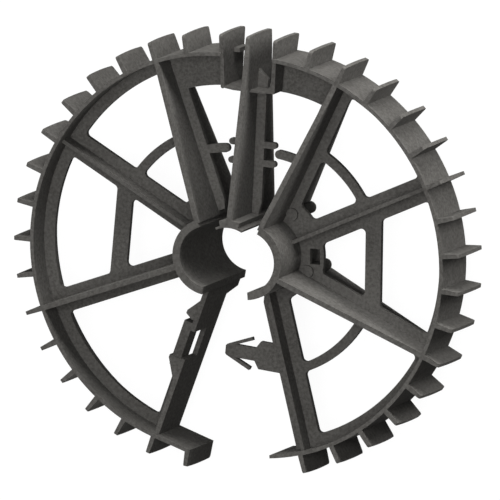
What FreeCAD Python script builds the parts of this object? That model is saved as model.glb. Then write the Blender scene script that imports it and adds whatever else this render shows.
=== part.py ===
import FreeCAD
import Part
import os
from math import cos, radians, sin, sqrt, tan

# Rebar wheel spacer: a toothed plastic wheel in two halves, hung on a centre spoke by two film hinges.
# Everything is drawn with the wheel closed about the Z axis, its middle plane at Z = 0.
# The halves are then swung open to the pose in which the wheel is delivered, and set on the hub's end.
# Lengths are in millimetres and angles in degrees. Angles are those of the right half.

# Rim and teeth
tooth_pitch = 10.0
tooth_lead = 0.3
tooth_tip_radius = 90.2
tooth_height = 7.3
tooth_crown = 0.35
tooth_corner_radius = 1.1
tooth_root_thickness = 2.1
tooth_tip_thickness = 1.5
rim_wall = 1.5
rim_width = 25.2
rim_flange_depth = 6.2
web_thickness = 2.2
corner_radius = 1.8
foot_length = 16.4
foot_tooth_angle = -90.6
lap_end_angle = -89.2
lap_thickness = 1.3

# Spokes
hinge_spoke_angle = 90.0
upper_spoke_angle = 60.5
side_spoke_angle = 20.3
low_spoke_angle = -29.7
latch_spoke_angle = -80.0
spoke_flange = 10.0
side_spoke_flange = 10.6
latch_spoke_flange = 11.2
rib_thickness = 2.1
flare_end_inset = 3.9
flare_foot_radius = 18.0
shallow_rib_depth = 16.2
shallow_rib_thickness = 1.5
slot_rib_depth = 21.4
slot_rib_foot_radius = 22.0
slot_rib_root_radius = 20.0
slot_rib_foot_depth = 12.2

# Ring arcs and straight struts between the spokes
ring_radius = 49.05
ring_width = 3.8
strut_distance = 47.45
strut_width = 6.9

# Hub
bore_radius = 12.75
hub_wall = 3.1
hub_length = 45.6
shell_top_angle = 62.0
shell_foot_angle = -89.5
segment_half_angle = 16.5
segment_lip_half_angle = 26.0
segment_lip = 0.9
narrow_web_radius = 20.8
tie_window_angle = -3.5
tie_window_radius = 21.9
tie_window_height = 4.4
tie_window_length = 6.4
tie_window_wall = 1.7
boss_radius = 2.5
boss_depth = 18.0
boss_front = 2.2
upper_boss_circle = 20.8
low_boss_circle = 19.8
upper_boss_angle = 51.0
low_boss_angle = -22.0

# Film hinges and the end plates beside them
hinge_x = 6.3
hinge_depth = 15.3
film_thickness = 0.9
film_width = 19.0
hinge_clearance = 0.05
end_plate_angle = 80.7
end_plate_thickness = 1.7
end_plate_width = 24.0
deep_flange_depth = 15.3
gusset_reach = 5.4
gusset_low = 3.9
gusset_high = 8.0
lug_inset = 0.6
lug_height = 1.8
lug_reach = 2.7
lug_width = 9.0
left_opening_angle = 7.1
right_opening_angle = 6.6

# Pegs on the centre spoke and the tongues that enter between them
peg_low = 36.7
peg_high = 44.4
peg_width = 2.7
peg_reach = 10.5
tongue_radius = 41.6
tongue_width = 3.6
tongue_end_angle = 78.0

# Latch: an arrow on the right half that snaps through a slot in the left half
slot_radius = 41.7
slot_length = 12.5
slot_floor = 2.0
bar_clearance = 0.7
bar_depth = 9.9
bar_near = 1.1
bar_far = 5.0
bar_low_end = 32.6
bar_high_end = 52.2
flange_gap_low = 34.0
flange_gap_high = 51.3
neck_radius = 21.5
neck_half = 1.6
neck_end = 31.0
neck_reach = 8.1
ear_root = 22.2
ear_crest = 28.0
ear_shoulder = 29.4
ear_foot = 31.0
ear_reach = 5.0
ear_foot_reach = 1.9
bump_top = 48.3
bump_shoulder = 49.6
bump_root = 57.7
bump_reach = 5.9
arrow_offset = 0.6
arrow_tip = 13.1
nose_half = 2.3
nose_round = 0.6
barb_end = 2.1
barb_half = 6.9
barb_thickness = 1.4
stem_half = 2.7
shoulder_half = 5.8
shoulder_ramp = 2.0

# Room left between the halves and the centre spoke when the wheel is closed
part_line_clearance = 0.3

# Sizes that follow from the ones above
up = FreeCAD.Vector(0, 0, 1)
half_width = rim_width / 2
half_film = film_width / 2
half_plate = end_plate_width / 2
half_hub = hub_length / 2
half_web = web_thickness / 2
half_flange = spoke_flange / 2
half_side_flange = side_spoke_flange / 2
half_rib = rib_thickness / 2
hub_radius = bore_radius + hub_wall
hub_middle = bore_radius + hub_wall * 0.55
wide_web_radius = tie_window_radius + tie_window_height / 2 + tie_window_wall
rim_outer_radius = tooth_tip_radius - tooth_height
rim_inner_radius = rim_outer_radius - rim_wall
rim_middle = rim_outer_radius - rim_wall / 2
rim_flange_radius = rim_outer_radius - rim_flange_depth
flare_radius = rim_outer_radius - flare_end_inset
deep_flange_radius = rim_outer_radius - deep_flange_depth
lug_radius = rim_outer_radius - lug_inset
hinge_y = rim_outer_radius - hinge_depth
plate_foot = hinge_y / sin(radians(end_plate_angle))
part_line = (hinge_spoke_angle - upper_spoke_angle) / 2
flange_start = (half_flange + part_line_clearance) / tan(radians(part_line))


def spoke_point(angle, along, beside):
    # A point along a spoke and beside it, counted anticlockwise
    c = cos(radians(angle))
    s = sin(radians(angle))
    return FreeCAD.Vector(along * c - beside * s, along * s + beside * c, 0)


def prism(edges, low, high):
    # A closed outline in the middle plane, raised between two heights
    face = Part.Face(Part.Wire(Part.__sortEdges__(edges)))
    face.translate(up * low)
    return face.extrude(up * (high - low))


def outline(points):
    return [Part.makeLine(points[i - 1], points[i]) for i in range(len(points))]


def spoke_prism(angle, pairs, low, high):
    # A straight-sided outline given along and beside a spoke
    return prism(outline([spoke_point(angle, a, b) for a, b in pairs]), low, high)


def strip(angle, start, end, near, far, low, high):
    return spoke_prism(angle, [(start, near), (end, near), (end, far), (start, far)], low, high)


def arc(radius, first, last):
    middle = spoke_point((first + last) / 2, radius, 0)
    return Part.Arc(spoke_point(first, radius, 0), middle, spoke_point(last, radius, 0)).toShape()


def sector(inner, outer, first, last, low, high):
    # Part of a ring about the wheel's axis
    a = Part.makeLine(spoke_point(first, inner, 0), spoke_point(first, outer, 0))
    b = Part.makeLine(spoke_point(last, inner, 0), spoke_point(last, outer, 0))
    return prism([arc(outer, first, last), a, b, arc(inner, first, last)], low, high)


def post(x, y, radius, low, high):
    return Part.makeCylinder(radius, high - low, FreeCAD.Vector(x, y, low), up)


def standing(angle, points, thickness):
    # A plate standing along a spoke, from its whole outline in radius and height
    corners = [FreeCAD.Vector(r, -thickness / 2, z) for r, z in points]
    plate = Part.Face(Part.makePolygon(corners + corners[:1])).extrude(FreeCAD.Vector(0, thickness, 0))
    plate.rotate(FreeCAD.Vector(), up, angle)
    return plate


def upright(angle, profile, thickness):
    # A standing plate that is the same in front and behind, from half its outline
    return standing(angle, profile + [(r, -z) for r, z in reversed(profile)], thickness)


def flared_rib(angle):
    ends = [(hub_middle, half_hub), (flare_foot_radius, half_hub)]
    return upright(angle, ends + [(flare_radius, half_width), (rim_middle, half_width)], rib_thickness)


def blade(angle, root, root_half, tip_half, root_thickness, tip_thickness):
    # A tooth: a plate that thins towards a tip curved across its width
    low = FreeCAD.Vector(root, 0, -root_half)
    high = FreeCAD.Vector(root, 0, root_half)
    low_tip = FreeCAD.Vector(tooth_tip_radius, 0, -tip_half)
    high_tip = FreeCAD.Vector(tooth_tip_radius, 0, tip_half)
    crown = FreeCAD.Vector(tooth_tip_radius + tooth_crown, 0, 0)
    edges = [Part.makeLine(low, low_tip), Part.Arc(low_tip, crown, high_tip).toShape()]
    edges += [Part.makeLine(high_tip, high), Part.makeLine(high, low)]
    face = Part.Face(Part.Wire(edges))
    face.translate(FreeCAD.Vector(0, -root_thickness / 2, 0))
    side = face.extrude(FreeCAD.Vector(0, root_thickness, 0))
    across = [e for e in side.Edges if abs(e.tangentAt(e.FirstParameter).y) > 0.99]
    corners = [e for e in across if e.CenterOfMass.x > (root + tooth_tip_radius) / 2]
    side = side.makeFillet(tooth_corner_radius, corners)
    far = tooth_tip_radius + tooth_crown
    taper = [(root, -root_thickness / 2), (far, -tip_thickness / 2)]
    taper += [(far, tip_thickness / 2), (root, root_thickness / 2)]
    tooth = side.common(spoke_prism(0, taper, -half_width, half_width))
    tooth.rotate(FreeCAD.Vector(), up, angle)
    return tooth


def plain_tooth(angle):
    return blade(angle, rim_middle, half_width, half_width, tooth_root_thickness, tooth_tip_thickness)


def meeting(angle, beside, limit):
    # Where a flange's edge meets an arc about the axis, or a straight strut square to a direction
    size, direction = limit
    if direction is None:
        return spoke_point(angle, sqrt(size * size - beside * beside), beside)
    turn = radians(angle - direction)
    return spoke_point(angle, (size + beside * sin(turn)) / cos(turn), beside)


def side_between(first, last, limit):
    size, direction = limit
    if direction is not None:
        return Part.makeLine(first, last)
    middle = (first + last).normalize() * size
    return Part.Arc(first, middle, last).toShape()


def window(low_angle, low_half, high_angle, high_half, inner, outer):
    # The open space between two spokes, with rounded corners
    a = meeting(low_angle, low_half, inner)
    b = meeting(low_angle, low_half, outer)
    c = meeting(high_angle, -high_half, outer)
    d = meeting(high_angle, -high_half, inner)
    edges = [Part.makeLine(a, b), side_between(b, c, outer), Part.makeLine(c, d), side_between(d, a, inner)]
    body = prism(edges, -web_thickness, web_thickness)
    uprights = [e for e in body.Edges if abs(e.tangentAt(e.FirstParameter).z) > 0.99]
    return body.makeFillet(corner_radius, uprights)


def middle_web(ring_by_latch, latch_half):
    # The plate in the middle plane: spoke flanges, rim flange, hub web, ring arcs and strut
    plate = sector(hub_middle, rim_middle, latch_spoke_angle, upper_spoke_angle, -half_web, half_web)
    start = hub_radius + part_line_clearance
    near = start * tan(radians(part_line)) - part_line_clearance
    edge = [(start, 0), (start, near), (flange_start, half_flange)]
    edge += [(rim_middle, half_flange), (rim_middle, 0)]
    plate = plate.fuse(spoke_prism(upper_spoke_angle, edge, -half_web, half_web))
    wide = (wide_web_radius, None)
    rim = (rim_flange_radius, None)
    ring_in = (ring_radius - ring_width / 2, None)
    ring_out = (ring_radius + ring_width / 2, None)
    bisector = (side_spoke_angle + low_spoke_angle) / 2
    strut_in = (strut_distance - strut_width / 2, bisector)
    strut_out = (strut_distance + strut_width / 2, bisector)
    upper = (side_spoke_angle, half_side_flange, upper_spoke_angle, half_flange)
    side = (low_spoke_angle, half_flange, side_spoke_angle, half_side_flange)
    latch = (latch_spoke_angle, latch_half, low_spoke_angle, half_flange)
    narrow = (narrow_web_radius, None)
    cuts = [window(*upper, wide, ring_in), window(*upper, ring_out, rim)]
    cuts += [window(*side, strut_out, rim)]
    if ring_by_latch:
        cuts += [window(*latch, narrow, ring_in), window(*latch, ring_out, rim)]
        cuts += [window(*side, wide, strut_in)]
        low = tie_window_radius - tie_window_height / 2
        high = tie_window_radius + tie_window_height / 2
        reach = tie_window_length / 2
        cuts += [strip(tie_window_angle, low, high, -reach, reach, -web_thickness, web_thickness)]
    else:
        cuts += [window(*latch, narrow, rim), window(*side, narrow, strut_in)]
    return plate.cut(cuts)


def tongue():
    # The curved finger beside the centre spoke, with a round end
    low = tongue_radius - tongue_width / 2
    high = tongue_radius + tongue_width / 2
    bar = sector(low, high, upper_spoke_angle, tongue_end_angle, -half_web, half_web)
    end = spoke_point(tongue_end_angle, tongue_radius, 0)
    return bar.fuse(post(end.x, end.y, tongue_width / 2, -half_web, half_web))


def end_plate():
    # The last tooth of a half, run down to its film hinge
    sizes = (half_film, half_plate, end_plate_thickness, end_plate_thickness)
    plate = blade(end_plate_angle, plate_foot, *sizes)
    foot = spoke_point(end_plate_angle, plate_foot, 0)
    bead = post(foot.x, foot.y, end_plate_thickness / 2, -half_film, half_film)
    low = hinge_y - film_thickness / 2
    corner = FreeCAD.Vector(hinge_x, low, -half_film)
    film = Part.makeBox(foot.x - hinge_x, film_thickness, film_width, corner)
    pin = post(hinge_x, hinge_y, film_thickness / 2, -half_film, half_film)
    deep = sector(deep_flange_radius, rim_middle, upper_spoke_angle, end_plate_angle, -half_web, half_web)
    inner = lug_radius - lug_height / 2
    outer = lug_radius + lug_height / 2
    lug = strip(end_plate_angle, inner, outer, 0, end_plate_thickness / 2 + lug_reach, -lug_width, 0)
    return [plate, bead, film, pin, deep, lug]


def common_half(web):
    # What the two halves share
    parts = [web, tongue()]
    parts += end_plate()
    ends = (latch_spoke_angle, end_plate_angle, -half_width, half_width)
    parts.append(sector(rim_inner_radius, rim_outer_radius, *ends))
    parts.append(sector(bore_radius, hub_radius, shell_foot_angle, shell_top_angle, -half_hub, half_hub))
    parts += [flared_rib(upper_spoke_angle), flared_rib(low_spoke_angle)]
    shallow = [(hub_middle, shallow_rib_depth / 2), (rim_middle, shallow_rib_depth / 2)]
    parts.append(upright(side_spoke_angle, shallow, shallow_rib_thickness))
    count = int(end_plate_angle - latch_spoke_angle) // int(tooth_pitch)
    for i in range(count):
        parts.append(plain_tooth(latch_spoke_angle + tooth_lead + i * tooth_pitch))
    bosses = ((upper_boss_angle, upper_boss_circle), (low_boss_angle, low_boss_circle))
    for angle, circle in bosses:
        spot = spoke_point(angle, circle, 0)
        parts.append(post(spot.x, spot.y, boss_radius, -boss_depth, boss_front))
    return parts


def joined(parts):
    return parts[0].multiFuse(parts[1:]).removeSplitter()


def swung(shape, x, angle):
    # A half turned about its film hinge and set on the hub's end
    turned = shape.copy()
    turned.rotate(FreeCAD.Vector(x, hinge_y, 0), up, angle)
    turned.translate(up * half_hub)
    return turned


# Right half, with the arrow
half_latch = latch_spoke_flange / 2
right_web = middle_web(True, half_latch)
right_parts = common_half(right_web)
shallow = [(hub_middle, shallow_rib_depth / 2), (rim_middle, shallow_rib_depth / 2)]
right_parts.append(upright(latch_spoke_angle, shallow, shallow_rib_thickness))
slot_angle = -180 - latch_spoke_angle
lean_angle = latch_spoke_angle - slot_angle
lean = tan(radians(lean_angle))
room = (half_rib + part_line_clearance) / cos(radians(lean_angle))
start = hub_radius + part_line_clearance
edge = [(start, 0), (start, room - start * lean), ((half_latch + room) / lean, -half_latch)]
edge += [(rim_middle, -half_latch), (rim_middle, 0)]
right_parts.append(spoke_prism(latch_spoke_angle, edge, -half_web, half_web))
lap_ends = (lap_end_angle, latch_spoke_angle, -half_width, half_width)
right_parts.append(sector(rim_inner_radius, rim_inner_radius + lap_thickness, *lap_ends))
slope = (arrow_tip - barb_end, nose_half - barb_half)
size = sqrt(slope[0] ** 2 + slope[1] ** 2)
inner_s = barb_end + slope[1] / size * barb_thickness
inner_q = barb_half - slope[0] / size * barb_thickness
root_s = inner_s + (inner_q - stem_half) * slope[0] / -slope[1]
upper_line = [(-shoulder_ramp, shoulder_half), (0, stem_half), (root_s, stem_half), (inner_s, inner_q)]
upper_line += [(barb_end, barb_half), (arrow_tip - nose_round, nose_half)]
upper_line += [(arrow_tip, nose_half - nose_round)]
lower_line = [(s, -q) for s, q in reversed(upper_line)]
arrow_radius = slot_radius + arrow_offset
high_root = (-(arrow_radius + shoulder_half) * lean, shoulder_half)
low_root = (-(arrow_radius - shoulder_half) * lean, -shoulder_half)
arrow_points = [high_root] + upper_line + lower_line + [low_root]
arrow = spoke_prism(slot_angle, [(arrow_radius + q, -s) for s, q in arrow_points], -half_web, half_web)
right_parts.append(arrow)
right_closed = joined(right_parts)

# Left half, drawn as a right one with the slotted spoke and the foot tooth, then mirrored
left_web = middle_web(False, half_flange)
thinned = [(hub_radius, neck_half), (neck_radius, neck_half)]
thinned += [(neck_end, neck_reach), (hub_radius, neck_reach)]
left_web = left_web.cut(spoke_prism(latch_spoke_angle, thinned, -half_web, half_web))
gap = (flange_gap_low, flange_gap_high, half_rib, spoke_flange, -half_web, half_web)
left_web = left_web.cut(strip(latch_spoke_angle, *gap))
slot_low = slot_radius - slot_length / 2
slot_high = slot_radius + slot_length / 2
half_slot_rib = slot_rib_depth / 2
slot_rib = [(hub_middle, half_slot_rib), (rim_middle, half_slot_rib), (rim_middle, -half_slot_rib)]
slot_rib += [(slot_rib_foot_radius, -slot_rib_foot_depth)]
slot_rib += [(slot_rib_root_radius, -half_hub), (hub_middle, -half_hub)]
slotted = standing(latch_spoke_angle, slot_rib, rib_thickness)
slot = strip(latch_spoke_angle, slot_low, slot_high, -spoke_flange, spoke_flange, -slot_floor, hub_length)
slotted = slotted.cut(slot)
left_web = left_web.cut(slot)
bar_floor = half_web + bar_clearance
bar = strip(latch_spoke_angle, slot_low, slot_high, bar_near, bar_far, bar_floor, bar_depth)
low_end = strip(latch_spoke_angle, bar_low_end, slot_low, 0, bar_far, bar_floor, bar_depth)
high_end = strip(latch_spoke_angle, slot_high, bar_high_end, 0, bar_far, bar_floor, bar_depth)
ear = [(ear_root, 0), (ear_root, half_rib), (ear_crest, ear_reach), (ear_shoulder, ear_reach)]
ear += [(ear_foot, ear_foot_reach), (ear_foot, 0)]
ear = spoke_prism(latch_spoke_angle, ear, 0, half_slot_rib)
bump = [(bump_top, 0), (bump_top, bump_reach), (bump_shoulder, bump_reach)]
bump += [(bump_root, half_rib), (bump_root, 0)]
bump = spoke_prism(latch_spoke_angle, bump, bar_floor, half_slot_rib)
left_parts = common_half(left_web) + [slotted, bar, low_end, high_end, ear, bump]
foot = (rim_inner_radius, rim_outer_radius, -foot_length, 0, -half_width, half_width)
left_parts.append(strip(latch_spoke_angle, *foot))
foot_root = rim_middle / cos(radians(latch_spoke_angle - foot_tooth_angle))
sizes = (half_width, half_width, tooth_root_thickness, tooth_tip_thickness)
left_parts.append(blade(foot_tooth_angle, foot_root, *sizes))
left_closed = joined(left_parts).mirror(FreeCAD.Vector(), FreeCAD.Vector(1, 0, 0))

# Centre spoke, with the top tooth, the two films, the pegs and a segment of the hub
centre_parts = [flared_rib(hinge_spoke_angle)]
sizes = (half_width, half_plate, tooth_root_thickness, tooth_tip_thickness)
centre_parts.append(blade(hinge_spoke_angle, rim_inner_radius, *sizes))
near = hub_middle * tan(radians(part_line)) - part_line_clearance
flange = [(hub_middle, -near), (flange_start, -half_flange), (hinge_y, -half_flange)]
flange += [(hinge_y, half_flange), (flange_start, half_flange), (hub_middle, near)]
centre_parts.append(spoke_prism(hinge_spoke_angle, flange, -half_web, half_web))
gusset = [(hinge_y, -gusset_reach), (hinge_y + gusset_low, -gusset_reach), (hinge_y + gusset_high, -half_rib)]
gusset += [(hinge_y + gusset_high, half_rib), (hinge_y + gusset_low, gusset_reach), (hinge_y, gusset_reach)]
centre_parts.append(spoke_prism(hinge_spoke_angle, gusset, -half_web, half_web))
corner = FreeCAD.Vector(-hinge_x, hinge_y - film_thickness / 2, -half_film)
film = Part.makeBox(2 * hinge_x, film_thickness, film_width, corner)
seat = film_thickness / 2 + hinge_clearance
seats = [post(x, hinge_y, seat, -half_film, half_film) for x in (-hinge_x, hinge_x)]
centre_parts.append(film.cut(seats))
for height in (peg_low, peg_high):
    reach = peg_reach - peg_width / 2
    low = height - peg_width / 2
    high = height + peg_width / 2
    centre_parts.append(strip(hinge_spoke_angle, low, high, -reach, reach, -half_web, half_web))
    for x in (-reach, reach):
        centre_parts.append(post(x, height, peg_width / 2, -half_web, half_web))
first = hinge_spoke_angle - segment_half_angle
last = hinge_spoke_angle + segment_half_angle
centre_parts.append(sector(bore_radius, hub_radius, first, last, -half_hub, half_hub))
first = hinge_spoke_angle - segment_lip_half_angle
last = hinge_spoke_angle + segment_lip_half_angle
centre_parts.append(sector(bore_radius, bore_radius + segment_lip, first, last, -half_hub, half_hub))
centre = joined(centre_parts)

# Open pose and export
nodes = {
    "left_half": swung(left_closed, -hinge_x, -left_opening_angle),
    "hinge_spoke": swung(centre, 0, 0),
    "right_half": swung(right_closed, hinge_x, right_opening_angle),
}
os.makedirs("parts", exist_ok=True)
for name, shape in nodes.items():
    shape.exportStep("parts/" + name + ".step")
    print(name, "solids", len(shape.Solids), "valid", shape.isValid(), "volume", round(shape.Volume, 1))
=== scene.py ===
import math

import bmesh
import bpy
from mathutils import Matrix, Vector


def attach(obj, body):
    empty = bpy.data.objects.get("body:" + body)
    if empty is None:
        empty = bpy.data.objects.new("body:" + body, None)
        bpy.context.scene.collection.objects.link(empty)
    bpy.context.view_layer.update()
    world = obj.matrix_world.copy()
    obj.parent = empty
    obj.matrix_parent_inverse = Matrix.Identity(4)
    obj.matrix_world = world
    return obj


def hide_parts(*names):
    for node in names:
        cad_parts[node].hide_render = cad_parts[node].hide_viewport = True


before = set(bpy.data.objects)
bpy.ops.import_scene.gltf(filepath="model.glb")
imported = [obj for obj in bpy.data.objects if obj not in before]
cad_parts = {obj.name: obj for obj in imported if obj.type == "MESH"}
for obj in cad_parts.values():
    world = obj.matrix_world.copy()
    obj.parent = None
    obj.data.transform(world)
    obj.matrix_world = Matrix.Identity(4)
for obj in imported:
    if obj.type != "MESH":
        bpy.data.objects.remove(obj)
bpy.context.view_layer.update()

scene = bpy.context.scene
scene.view_settings.view_transform = "Standard"


# a short way to add a node
def addNode(tree, kind, x, y, **values):
    node = tree.nodes.new(kind)
    node.location = (x, y)
    for key, value in values.items():
        setattr(node, key, value)
    return node


# 1 where the camera, a mirror or glass looks, 0 where light bounces
def addSeen(tree, x, y):
    path = addNode(tree, "ShaderNodeLightPath", x, y)
    either = addNode(tree, "ShaderNodeMath", x + 200, y, operation="MAXIMUM")
    seen = addNode(tree, "ShaderNodeMath", x + 400, y, operation="MAXIMUM")
    link = tree.links.new
    link(path.outputs["Is Camera Ray"], either.inputs[0])
    link(path.outputs["Is Glossy Ray"], either.inputs[1])
    link(either.outputs[0], seen.inputs[0])
    link(path.outputs["Is Transmission Ray"], seen.inputs[1])
    return seen.outputs[0]


# the mould's skin: how fine each noise is, and how much the specks add to the pits' height
skinNoise = {
    "pitDetail": 2.0,
    "pitRough": 0.6,
    "speckDetail": 3.0,
    "speckRough": 0.65,
    "flowDetail": 4.0,
    "flowBend": 1.4,
    "speckHeight": 0.5,
}


# grain on Object coordinates: fine pits, coarser specks and slow cloudy flow marks
def makeMouldGrain():
    group = bpy.data.node_groups.new("mouldGrain", "ShaderNodeTree")
    face = group.interface
    face.new_socket("Vector", in_out="INPUT", socket_type="NodeSocketVector")
    for name in ("Pit Scale", "Speck Scale", "Flow Scale"):
        face.new_socket(name, in_out="INPUT", socket_type="NodeSocketFloat")
    for name in ("Height", "Speck", "Flow"):
        face.new_socket(name, in_out="OUTPUT", socket_type="NodeSocketFloat")
    enter = addNode(group, "NodeGroupInput", -700, 0)
    leave = addNode(group, "NodeGroupOutput", 500, 0)
    pits = addNode(group, "ShaderNodeTexNoise", -400, 250)
    pits.inputs["Detail"].default_value = skinNoise["pitDetail"]
    pits.inputs["Roughness"].default_value = skinNoise["pitRough"]
    specks = addNode(group, "ShaderNodeTexNoise", -400, 0)
    specks.inputs["Detail"].default_value = skinNoise["speckDetail"]
    specks.inputs["Roughness"].default_value = skinNoise["speckRough"]
    flow = addNode(group, "ShaderNodeTexNoise", -400, -250)
    flow.inputs["Detail"].default_value = skinNoise["flowDetail"]
    flow.inputs["Distortion"].default_value = skinNoise["flowBend"]
    height = addNode(group, "ShaderNodeMath", 100, 200, operation="MULTIPLY_ADD")
    height.inputs[1].default_value = skinNoise["speckHeight"]
    link = group.links.new
    for noise, scale in ((pits, "Pit Scale"), (specks, "Speck Scale"), (flow, "Flow Scale")):
        link(enter.outputs["Vector"], noise.inputs["Vector"])
        link(enter.outputs[scale], noise.inputs["Scale"])
    link(specks.outputs["Fac"], height.inputs[0])
    link(pits.outputs["Fac"], height.inputs[2])
    link(height.outputs[0], leave.inputs["Height"])
    link(specks.outputs["Fac"], leave.inputs["Speck"])
    link(flow.outputs["Fac"], leave.inputs["Flow"])
    return group


# charcoal, matte moulded plastic: two tones mixed by specks and flow marks, scales per metre
plastic = {
    "dark": (0.045, 0.043, 0.040, 1.0),
    "light": (0.074, 0.0715, 0.067, 1.0),
    "roughLow": 0.78,
    "roughHigh": 0.96,
    "specular": 0.02,
    "bumpStrength": 0.6,
    "bumpHeight": 0.00006,
    "pitScale": 2600.0,
    "speckScale": 800.0,
    "flowScale": 28.0,
    "speckShare": 0.75,
    "flowShare": 0.25,
    "toneLow": 0.38,
    "toneHigh": 0.62,
}


def makePlastic(grain):
    material = bpy.data.materials.new("charcoalPlastic")
    material.use_nodes = True
    tree = material.node_tree
    tree.nodes.clear()
    out = addNode(tree, "ShaderNodeOutputMaterial", 700, 0)
    shader = addNode(tree, "ShaderNodeBsdfPrincipled", 400, 0)
    shader.inputs["Specular IOR Level"].default_value = plastic["specular"]
    place = addNode(tree, "ShaderNodeTexCoord", -800, 0)
    skin = addNode(tree, "ShaderNodeGroup", -550, 0)
    skin.node_tree = grain
    skin.inputs["Pit Scale"].default_value = plastic["pitScale"]
    skin.inputs["Speck Scale"].default_value = plastic["speckScale"]
    skin.inputs["Flow Scale"].default_value = plastic["flowScale"]
    blend = addNode(tree, "ShaderNodeMath", -300, 200, operation="MULTIPLY_ADD")
    blend.inputs[1].default_value = plastic["speckShare"]
    half = addNode(tree, "ShaderNodeMath", -300, 0, operation="MULTIPLY")
    half.inputs[1].default_value = plastic["flowShare"]
    tone = addNode(tree, "ShaderNodeValToRGB", -80, 250)
    tone.color_ramp.elements[0].position = plastic["toneLow"]
    tone.color_ramp.elements[0].color = plastic["dark"]
    tone.color_ramp.elements[1].position = plastic["toneHigh"]
    tone.color_ramp.elements[1].color = plastic["light"]
    gloss = addNode(tree, "ShaderNodeMapRange", -80, -50)
    gloss.inputs["From Min"].default_value = plastic["toneLow"]
    gloss.inputs["From Max"].default_value = plastic["toneHigh"]
    gloss.inputs["To Min"].default_value = plastic["roughLow"]
    gloss.inputs["To Max"].default_value = plastic["roughHigh"]
    bump = addNode(tree, "ShaderNodeBump", 100, -250)
    bump.inputs["Strength"].default_value = plastic["bumpStrength"]
    bump.inputs["Distance"].default_value = plastic["bumpHeight"]
    link = tree.links.new
    link(place.outputs["Object"], skin.inputs["Vector"])
    link(skin.outputs["Flow"], half.inputs[0])
    link(skin.outputs["Speck"], blend.inputs[0])
    link(half.outputs[0], blend.inputs[2])
    link(blend.outputs[0], tone.inputs["Fac"])
    link(tone.outputs["Color"], shader.inputs["Base Color"])
    link(blend.outputs[0], gloss.inputs["Value"])
    link(gloss.outputs["Result"], shader.inputs["Roughness"])
    link(skin.outputs["Height"], bump.inputs["Height"])
    link(bump.outputs["Normal"], shader.inputs["Normal"])
    link(shader.outputs["BSDF"], out.inputs["Surface"])
    return material


charcoal = makePlastic(makeMouldGrain())
print("spacer: plastic made")

# each moulded segment: its solid and the body that it moves with
segments = {
    "leftSegment": {"node": "left_half", "body": "left_half"},
    "spokeSegment": {"node": "hinge_spoke", "body": "hinge_spoke"},
    "rightSegment": {"node": "right_half", "body": "right_half"},
}
edges = {"width": 0.0003, "rounds": 2, "fromAngle": 30.0, "merge": 1e-6, "flat": 0.3}


# merged copy of a solid whose sharp edges are rounded as a mould leaves them
def roundedSegment(name, node, body):
    mesh = bpy.data.meshes.new(name)
    work = bmesh.new()
    work.from_mesh(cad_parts[node].data)
    bmesh.ops.remove_doubles(work, verts=work.verts, dist=edges["merge"])
    bmesh.ops.dissolve_limit(
        work, angle_limit=math.radians(edges["flat"]), verts=work.verts, edges=work.edges
    )
    work.to_mesh(mesh)
    work.free()
    mesh.shade_smooth()
    mesh.set_sharp_from_angle(angle=math.radians(edges["fromAngle"]))
    mesh.materials.clear()
    mesh.materials.append(charcoal)
    piece = bpy.data.objects.new(name, mesh)
    scene.collection.objects.link(piece)
    soft = piece.modifiers.new("edgeRound", "BEVEL")
    soft.width = edges["width"]
    soft.segments = edges["rounds"]
    soft.limit_method = "ANGLE"
    soft.angle_limit = math.radians(edges["fromAngle"])
    soft.harden_normals = True
    soft.use_clamp_overlap = True
    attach(piece, body)
    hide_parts(node)
    return piece


for name, says in segments.items():
    made = roundedSegment(name, says["node"], says["body"])
    print("spacer:", name, len(made.data.polygons), "faces before rounding")


# pale floor under the hub's lower end; it reads white to the camera and keeps a faint shadow
floorLook = {
    "half": 3.0,
    "level": -0.0002,  # just clear of the hub's lower end
    "colour": (0.08, 0.08, 0.08, 1.0),
    "seenColour": (0.07, 0.07, 0.07, 1.0),
    "seenGlow": 0.94,
}


def makeFloor():
    material = bpy.data.materials.new("paleFloor")
    material.use_nodes = True
    tree = material.node_tree
    tree.nodes.clear()
    out = addNode(tree, "ShaderNodeOutputMaterial", 600, 0)
    seen = addSeen(tree, -700, 0)
    paint = addNode(tree, "ShaderNodeMix", -50, 200, data_type="RGBA")
    paint.inputs["A"].default_value = floorLook["colour"]
    paint.inputs["B"].default_value = floorLook["seenColour"]
    glow = addNode(tree, "ShaderNodeMath", -50, -100, operation="MULTIPLY")
    glow.inputs[1].default_value = floorLook["seenGlow"]
    matte = addNode(tree, "ShaderNodeBsdfDiffuse", 180, 150)
    light = addNode(tree, "ShaderNodeEmission", 180, -50)
    both = addNode(tree, "ShaderNodeAddShader", 400, 50)
    link = tree.links.new
    link(seen, paint.inputs["Factor"])
    link(seen, glow.inputs[0])
    link(paint.outputs["Result"], matte.inputs["Color"])
    link(glow.outputs[0], light.inputs["Strength"])
    link(matte.outputs[0], both.inputs[0])
    link(light.outputs[0], both.inputs[1])
    link(both.outputs[0], out.inputs["Surface"])
    reach, low = floorLook["half"], floorLook["level"]
    turns = ((-1, -1), (1, -1), (1, 1), (-1, 1))
    corners = [(x * reach, y * reach, low) for x, y in turns]
    mesh = bpy.data.meshes.new("floor")
    mesh.from_pydata(corners, [], [(0, 1, 2, 3)])
    mesh.materials.append(material)
    floor = bpy.data.objects.new("floor", mesh)
    scene.collection.objects.link(floor)


makeFloor()

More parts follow.
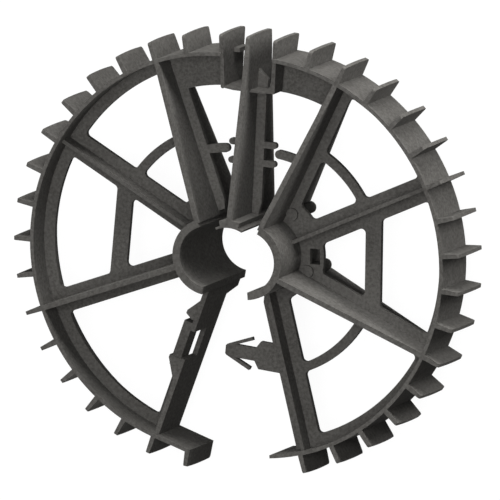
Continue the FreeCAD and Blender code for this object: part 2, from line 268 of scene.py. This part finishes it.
# soft light: a front lamp near the viewer, a wide lamp beyond the wheel's top, a small low one
# for the rim's right side, a weak low one for the sides turned from the viewer, and a dim room
lamps = {
    "front": {"at": (0.26, 0.16, 1.16), "width": 0.9, "height": 0.9, "power": 16.5},
    "top": {"at": (0.04, 1.13, 0.26), "width": 1.2, "height": 0.46, "power": 30.0},
    "side": {"at": (0.43, 0.30, 0.05), "width": 0.36, "height": 0.06, "power": 2.8},
    "fill": {"at": (-0.55, -0.95, 0.18), "width": 1.2, "height": 0.32, "power": 14.0},
}
room = {"strength": 0.05, "seenStrength": 1.0, "colour": (1.0, 1.0, 1.0, 1.0)}
wheelCentre = Vector((0.0, 0.0, 0.0228))  # halfway up the hub

for name, says in lamps.items():
    lamp = bpy.data.lights.new(name, "AREA")
    lamp.shape = "ELLIPSE"
    lamp.size = says["width"]
    lamp.size_y = says["height"]
    lamp.energy = says["power"]
    holder = bpy.data.objects.new(name, lamp)
    holder.location = says["at"]
    holder.rotation_euler = (wheelCentre - Vector(says["at"])).to_track_quat("-Z", "Y").to_euler()
    scene.collection.objects.link(holder)


# the room lights dimly, and shows white where the floor ends
def makeRoom():
    world = bpy.data.worlds.new("room")
    scene.world = world
    world.use_nodes = True
    tree = world.node_tree
    tree.nodes.clear()
    out = addNode(tree, "ShaderNodeOutputWorld", 500, 0)
    seen = addSeen(tree, -600, 0)
    level = addNode(tree, "ShaderNodeMapRange", 50, 0)
    level.inputs["To Min"].default_value = room["strength"]
    level.inputs["To Max"].default_value = room["seenStrength"]
    glow = addNode(tree, "ShaderNodeBackground", 280, 0)
    glow.inputs["Color"].default_value = room["colour"]
    link = tree.links.new
    link(seen, level.inputs["Value"])
    link(level.outputs["Result"], glow.inputs["Strength"])
    link(glow.outputs[0], out.inputs["Surface"])


makeRoom()
print("spacer: floor and light set")

# long-lens view of the photo: turns in radians, the wheel's centre in the 500 pixel frame,
# pixels per metre
eye = {
    "turnX": 0.18758,
    "turnY": -0.38683,
    "turnZ": -0.04681,
    "centre": (248.842, 250.174),
    "pixelsPerMetre": 2456.114,
    "frame": 500.0,
    "away": 0.8,
    "nearest": 0.01,
    "furthest": 20.0,
}


def makeCamera():
    turn = (
        Matrix.Rotation(eye["turnZ"], 3, "Z")
        @ Matrix.Rotation(eye["turnX"], 3, "X")
        @ Matrix.Rotation(eye["turnY"], 3, "Y")
    )
    right, up, back = turn[0], turn[1], turn[2]
    camera = bpy.data.cameras.new("camera")
    camera.type = "ORTHO"
    camera.ortho_scale = eye["frame"] / eye["pixelsPerMetre"]
    camera.clip_start = eye["nearest"]
    camera.clip_end = eye["furthest"]
    across = (eye["frame"] / 2 - eye["centre"][0]) / eye["pixelsPerMetre"]
    down = (eye["frame"] / 2 - eye["centre"][1]) / eye["pixelsPerMetre"]
    place = wheelCentre + right * across - up * down + back * eye["away"]
    holder = bpy.data.objects.new("camera", camera)
    holder.matrix_world = Matrix.Translation(place) @ turn.transposed().to_4x4()
    scene.collection.objects.link(holder)
    scene.camera = holder


makeCamera()
print("spacer: camera set")
